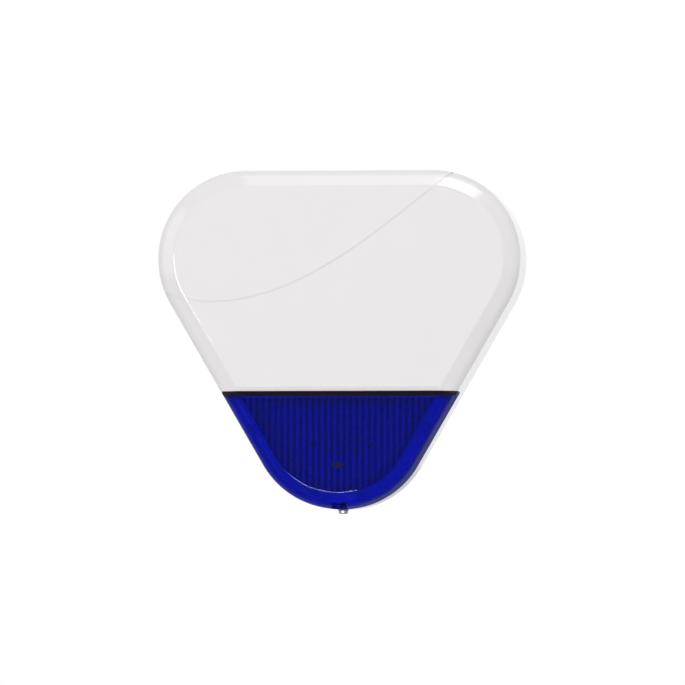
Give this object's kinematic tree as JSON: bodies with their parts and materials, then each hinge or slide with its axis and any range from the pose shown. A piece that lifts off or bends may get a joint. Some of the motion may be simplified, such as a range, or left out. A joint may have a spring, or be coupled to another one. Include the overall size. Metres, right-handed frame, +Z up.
{
  "type": "wall-mounted alarm siren",
  "caption": "Delta-shaped outdoor alarm siren: white hinged cover with a blue strobe lens over a wall plate with sounder, battery and control board.",
  "frame": {"origin": "centre of the circle of the three wall fixings, on the back face of the base plate", "axes": "+Y out of the back into the wall, -Y out of the front of the cover, +Z up, +X to the right as seen from the front"},
  "size_m": [0.3, 0.08, 0.2828],
  "materials": {
    "cover_white": "glossy moulded plastic, white",
    "lens_blue": "deep blue translucent moulded plastic, glossy outside",
    "seal_rubber": "soft black rubber",
    "window_dark": "dark glossy plastic",
    "zinc_steel": "zinc-plated steel",
    "base_white": "fine-textured moulded plastic, off-white",
    "vial_green": "clear vial with yellow-green liquid",
    "insert_brass": "turned or rolled brass",
    "sounder_black": "black moulded plastic",
    "cell_metal": "nickel-plated steel can",
    "sleeve_blue": "shrunk-on plastic sleeve",
    "board_green": "green solder mask",
    "terminal_green": "moulded terminal plastic",
    "chip_black": "black moulded package",
    "capacitor_sleeve": "dark printed-free sleeve with a bare top",
    "copper_coil": "enamelled copper wire",
    "ferrite_grey": "sintered ferrite",
    "header_white": "natural nylon",
    "board_white": "white solder mask",
    "lamp_clear": "clear moulded lamp body",
    "reflector_white": "white moulded plastic",
    "lead_red": "flexible insulation, red and black",
    "lead_black": "flexible insulation"
  },
  "bodies": {
    "root": {"backplate": "base_white", "hinge_pins": "zinc_steel", "level_vial": "vial_green", "thread_insert": "insert_brass", "sounder_housing": "sounder_black", "piezo_disc": "insert_brass", "sounder_horn": "sounder_black", "battery_cells": "cell_metal", "battery_sleeve": "sleeve_blue", "battery_strap": "sounder_black", "control_board": "board_green", "terminal_block": "terminal_green", "terminal_screws": "zinc_steel", "board_chips": "chip_black", "capacitors": "capacitor_sleeve", "charge_coil": "copper_coil", "step_up_transformer": "ferrite_grey", "transformer_winding": "copper_coil", "lead_headers": "header_white", "front_tamper_switch": "chip_black", "wall_tamper_switch": "chip_black", "strobe_board": "board_white", "strobe_leds": "lamp_clear", "strobe_reflector": "reflector_white", "board_screws": "zinc_steel", "strap_screws": "zinc_steel", "sounder_screws": "zinc_steel", "reflector_screws": "zinc_steel", "battery_leads": "lead_red", "sounder_leads": "lead_black", "strobe_leads": "lead_black"},
    "cover": {"front_cover": "cover_white", "strobe_lens": "lens_blue", "lens_gasket": "seal_rubber", "status_window": "window_dark", "lens_screws": "zinc_steel"},
    "washer": {"screw_washer": "seal_rubber"},
    "screw": {"cover_screw": "zinc_steel"},
    "cover_tamper": {"tamper_plunger": "header_white"},
    "wall_tamper": {"wall_tamper_plunger": "header_white"}
  },
  "joints": [
    {"name": "cover_swing", "type": "hinge", "parent": "root", "child": "cover", "pos_m": [0, -0.0065, 0.11379], "axis": [-1, 0, 0], "range_deg": [0, 75]},
    {"name": "screw_travel", "type": "slide", "parent": "root", "child": "washer", "axis": [0, 0, -1], "range_m": [0, 0.0042]},
    {"name": "screw_turn", "type": "hinge", "parent": "washer", "child": "screw", "pos_m": [0, -0.03, -0.16], "axis": [0, 0, -1], "range_deg": [0, 2160]},
    {"name": "cover_tamper_travel", "type": "slide", "parent": "root", "child": "cover_tamper", "axis": [0, -1, 0], "range_m": [0, 0.0031]},
    {"name": "wall_tamper_travel", "type": "slide", "parent": "root", "child": "wall_tamper", "axis": [0, 1, 0], "range_m": [0, 0.003], "stiffness_N_per_m": 150}
  ],
  "couplings": [
    {"joint": "screw_turn", "follows": "screw_travel", "rad_per_m": 8976},
    {"joint": "cover_tamper_travel", "follows": "cover_swing", "m_per_rad": 0.0022918}
  ]
}
